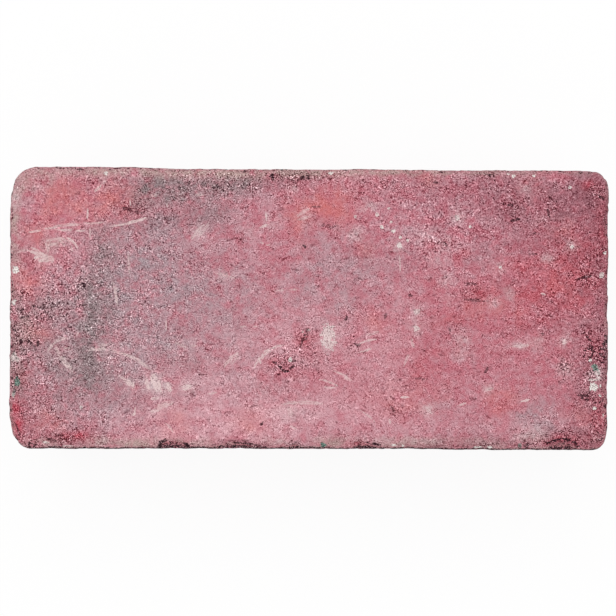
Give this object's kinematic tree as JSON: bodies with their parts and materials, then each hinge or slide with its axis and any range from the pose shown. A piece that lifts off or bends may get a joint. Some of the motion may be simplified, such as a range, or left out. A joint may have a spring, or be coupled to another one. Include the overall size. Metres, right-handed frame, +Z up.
{
  "type": "clay brick",
  "caption": "Solid red clay brick with flat bed faces, worn round corners and chipped arrises, for laying in mortar or paving.",
  "frame": {"origin": "middle of the lower bed face, on the surface that the brick lies on", "axes": "+X along the brick's length, +Y across it towards the back stretcher face, +Z up through the bed faces"},
  "size_m": [0.203, 0.096, 0.057],
  "materials": {
    "fired_clay": "matt, weathered pinkish-red fired clay with grey bloom, pale scuffs, pits and grime along the arrises"
  },
  "bodies": {
    "root": {"brick": "fired_clay"}
  },
  "joints": []
}
